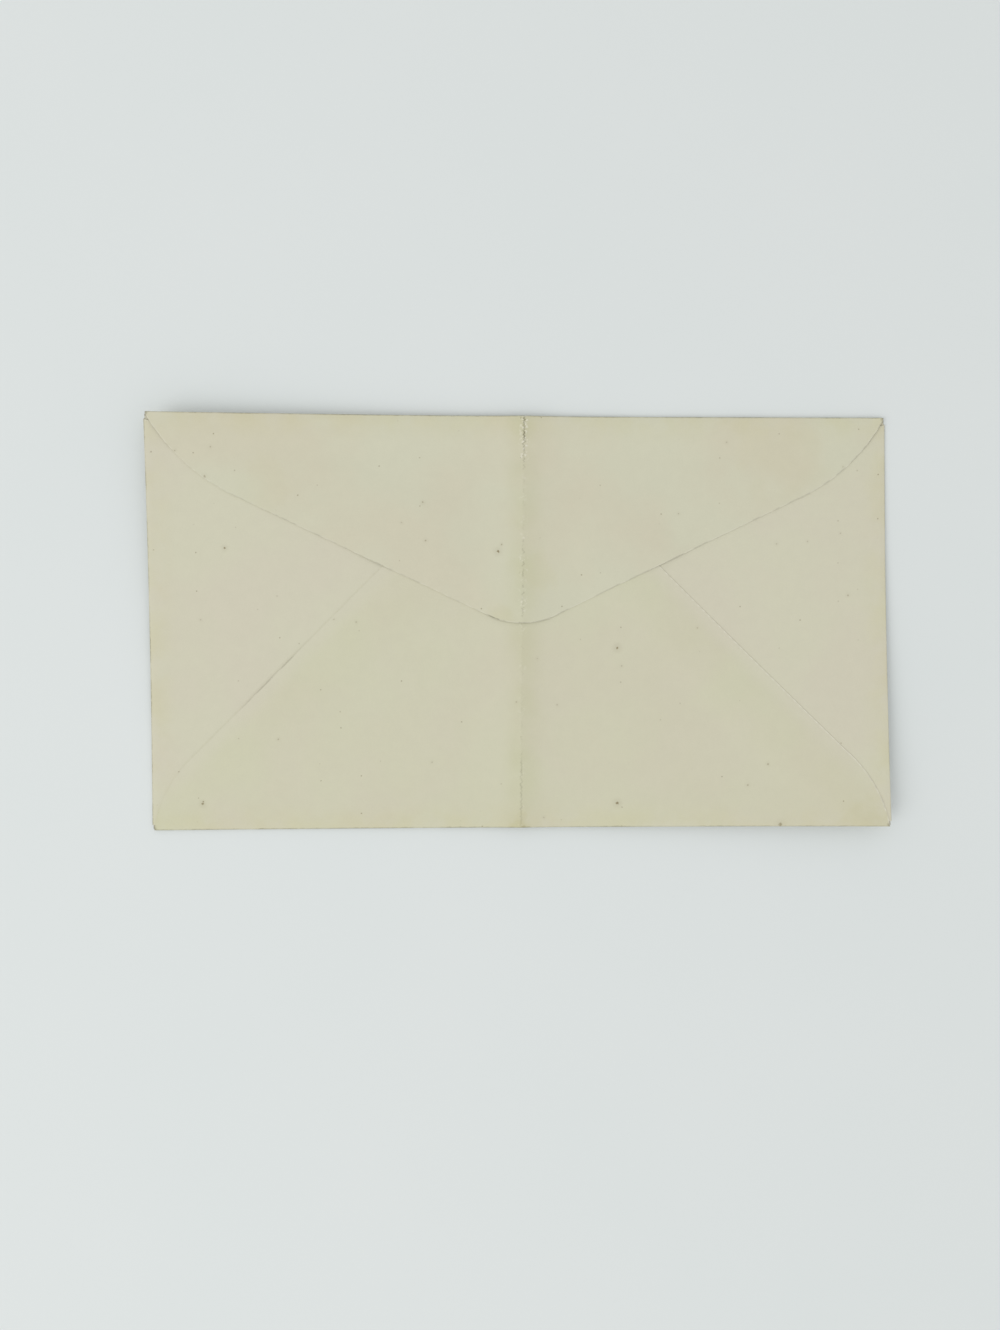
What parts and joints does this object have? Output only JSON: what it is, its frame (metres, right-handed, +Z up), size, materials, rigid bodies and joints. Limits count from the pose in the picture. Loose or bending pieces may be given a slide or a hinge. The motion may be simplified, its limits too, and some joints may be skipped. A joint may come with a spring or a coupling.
{
  "type": "paper envelope",
  "caption": "Empty letter envelope folded from one sheet of cream paper, with diagonal glued seams, a closed pointed seal flap and a crease across the middle.",
  "frame": {"origin": "on the surface the envelope lies on, under the middle of the envelope", "axes": "+X to the right along the top fold as seen from the flap side, +Y towards the top fold that carries the seal flap, +Z up out of the flap side"},
  "size_m": [0.165, 0.0922, 0.0015],
  "materials": {
    "paper": "uncoated writing paper, yellowed and foxed with age"
  },
  "bodies": {
    "root": {"envelope": "paper"}
  },
  "joints": []
}
